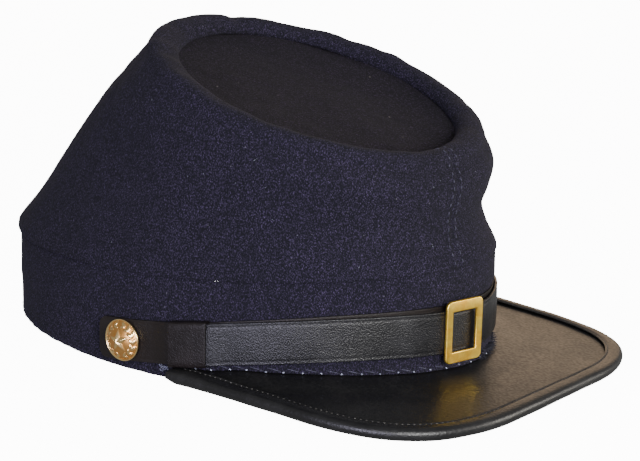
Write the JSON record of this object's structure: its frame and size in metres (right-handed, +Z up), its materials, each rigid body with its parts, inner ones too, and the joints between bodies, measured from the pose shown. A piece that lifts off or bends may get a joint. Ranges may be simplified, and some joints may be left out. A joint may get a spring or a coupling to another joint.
{
  "type": "kepi cap",
  "caption": "Forward-leaning wool cap with a sunken round top, leather peak, leather chin strap, brass slide buckle and two side buttons.",
  "frame": {"origin": "centre of the bounding box's bottom face, on the surface that the cap stands on", "axes": "+Z up; the peak and buckle are at -Y, the back of the cap at +Y; the wearer's left side is +X"},
  "size_m": [0.168, 0.2494, 0.1213],
  "materials": {
    "navy_wool": "matt brushed wool",
    "wool_top": "matt brushed wool",
    "black_leather": "smooth polished leather",
    "brass": "brushed and polished"
  },
  "bodies": {
    "root": {"crown_side": "navy_wool", "crown_top": "wool_top", "band": "navy_wool", "peak": "black_leather", "peak_binding": "black_leather", "strap_inner": "black_leather", "strap_outer": "black_leather", "keeper_right": "black_leather", "keeper_left": "black_leather", "buckle": "brass", "button_right": "brass", "button_left": "brass"}
  },
  "joints": []
}
